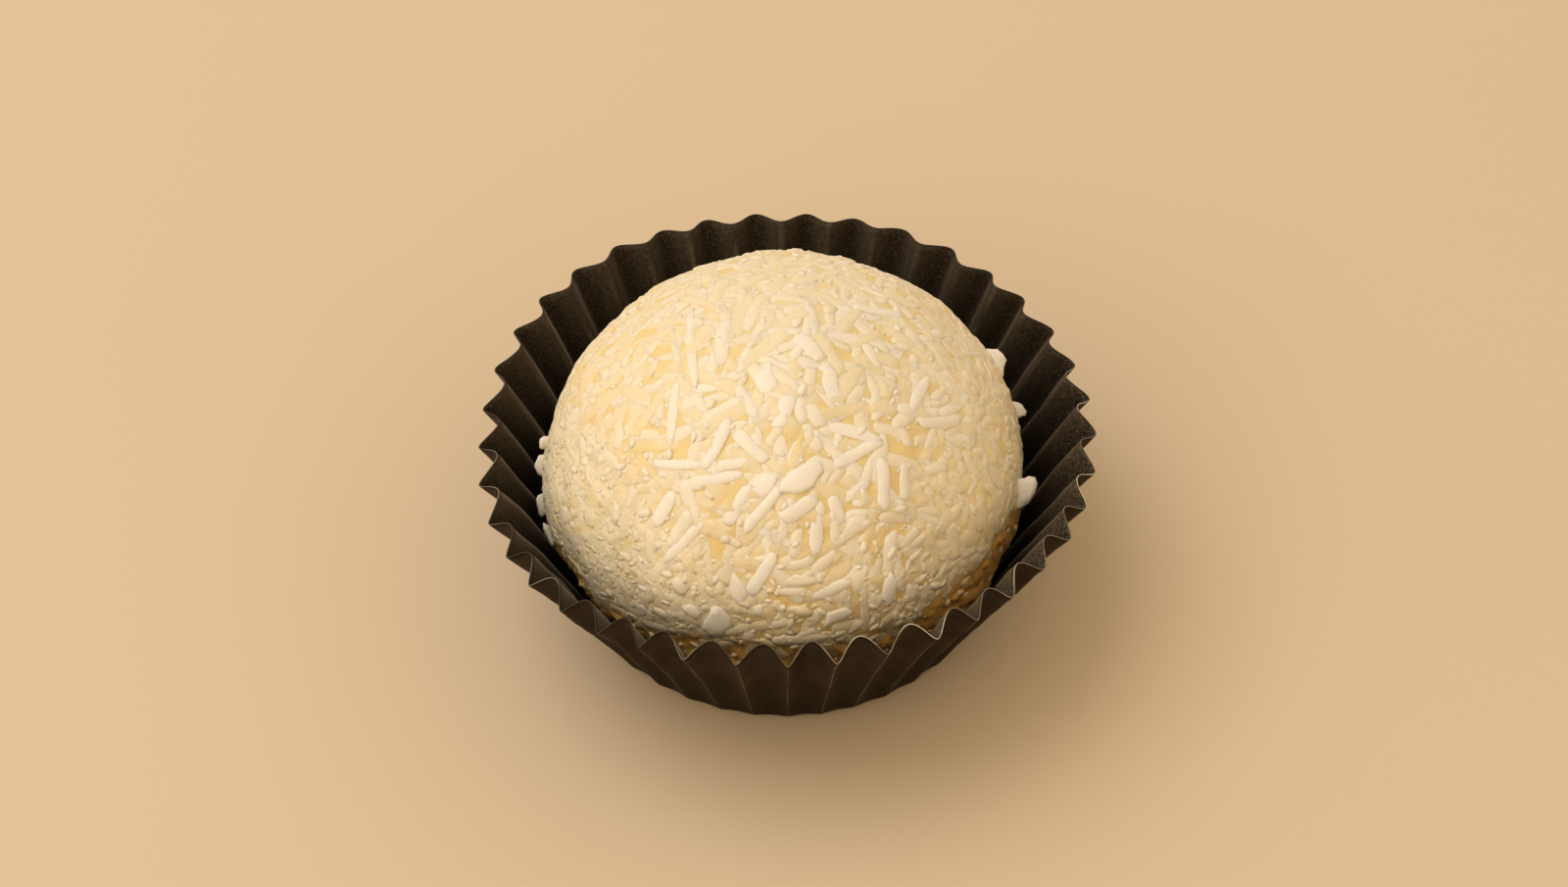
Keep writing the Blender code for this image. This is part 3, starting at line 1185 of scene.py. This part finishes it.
def around(middle, turn, elevation, distance):
    """The point at a turn and an elevation, in degrees, and a distance from the middle."""
    turn, elevation = math.radians(turn), math.radians(elevation)
    level = distance * math.cos(elevation)
    across = (level * math.cos(turn), level * math.sin(turn))
    return middle + Vector((*across, distance * math.sin(elevation)))


def make_light(name, size, power, tint, place, target):
    """A soft light as wide and as high as its size says."""
    light = bpy.data.lights.new(name, "AREA")
    light.shape = "RECTANGLE"
    light.size = size[0]
    light.size_y = size[1]
    light.energy = power
    light.color = tint
    holder = bpy.data.objects.new(name, light)
    bpy.context.scene.collection.objects.link(holder)
    aim(holder, place, target)


def make_lights(settings, middle):
    """A wide soft light above and to the left, and a low warm fill from the front left."""
    window_place = around(middle, 165, 62, 0.60)
    make_light("window", (0.45, 0.45), settings.key, (0.98, 0.985, 0.99), window_place, middle)
    fill_place = around(middle, -144, 29, 0.80)
    make_light("fill", (0.8, 0.5), 0.97 * settings.key, (1.0, 0.82, 0.58), fill_place, middle)
    world = bpy.data.worlds.new("studio")
    world.use_nodes = True
    background = world.node_tree.nodes["Background"]
    background.inputs["Color"].default_value = (1.0, 0.76, 0.48, 1.0)
    background.inputs["Strength"].default_value = settings.surround
    bpy.context.scene.world = world
    bpy.context.scene.view_settings.view_transform = "Standard"


def make_camera(settings, middle):
    """A camera in front of the case, looking down at it."""
    camera = bpy.data.cameras.new("camera")
    camera.lens = settings.lens
    camera.sensor_width = 36.0
    camera.clip_start = 0.01
    holder = bpy.data.objects.new("camera", camera)
    bpy.context.scene.collection.objects.link(holder)
    place = around(middle, -90, math.degrees(settings.elevation), settings.distance)
    aim(holder, place, middle)
    bpy.context.scene.camera = holder


class BRIGADEIRO_PT_panel(bpy.types.Panel):
    """Lists the brigadeiro's settings and the operators that make it"""

    bl_idname = "BRIGADEIRO_PT_panel"
    bl_label = "Brigadeiro"
    bl_space_type = "VIEW_3D"
    bl_region_type = "UI"
    bl_category = "Brigadeiro"

    def draw(self, context):
        for group, operators in STEPS:
            settings = getattr(context.scene, group)
            box = self.layout.box()
            for name in settings.__annotations__:
                box.prop(settings, name)
            for operator in operators:
                box.operator(operator)


STEPS = (
    ("brigadeiro_case", ("brigadeiro.paper_case",)),
    ("brigadeiro_sweet", ("brigadeiro.dough",)),
    ("brigadeiro_coat", ("brigadeiro.coat",)),
    ("brigadeiro_studio", ("brigadeiro.studio",)),
)
GROUPS = {
    "brigadeiro_case": CaseSettings,
    "brigadeiro_sweet": SweetSettings,
    "brigadeiro_coat": CoatSettings,
    "brigadeiro_studio": StudioSettings,
}
CLASSES = (
    *GROUPS.values(),
    BRIGADEIRO_OT_paper_case,
    BRIGADEIRO_OT_dough,
    BRIGADEIRO_OT_coat,
    BRIGADEIRO_OT_studio,
    BRIGADEIRO_PT_panel,
)


def register():
    for made in CLASSES:
        bpy.utils.register_class(made)
    for name, group in GROUPS.items():
        setattr(bpy.types.Scene, name, PointerProperty(type=group))


def unregister():
    for name in GROUPS:
        delattr(bpy.types.Scene, name)
    for made in reversed(CLASSES):
        bpy.utils.unregister_class(made)


def main():
    register()
    bpy.ops.brigadeiro.paper_case()
    bpy.ops.brigadeiro.dough()
    bpy.ops.brigadeiro.coat()
    bpy.ops.brigadeiro.studio()


if __name__ == "__main__":
    main()
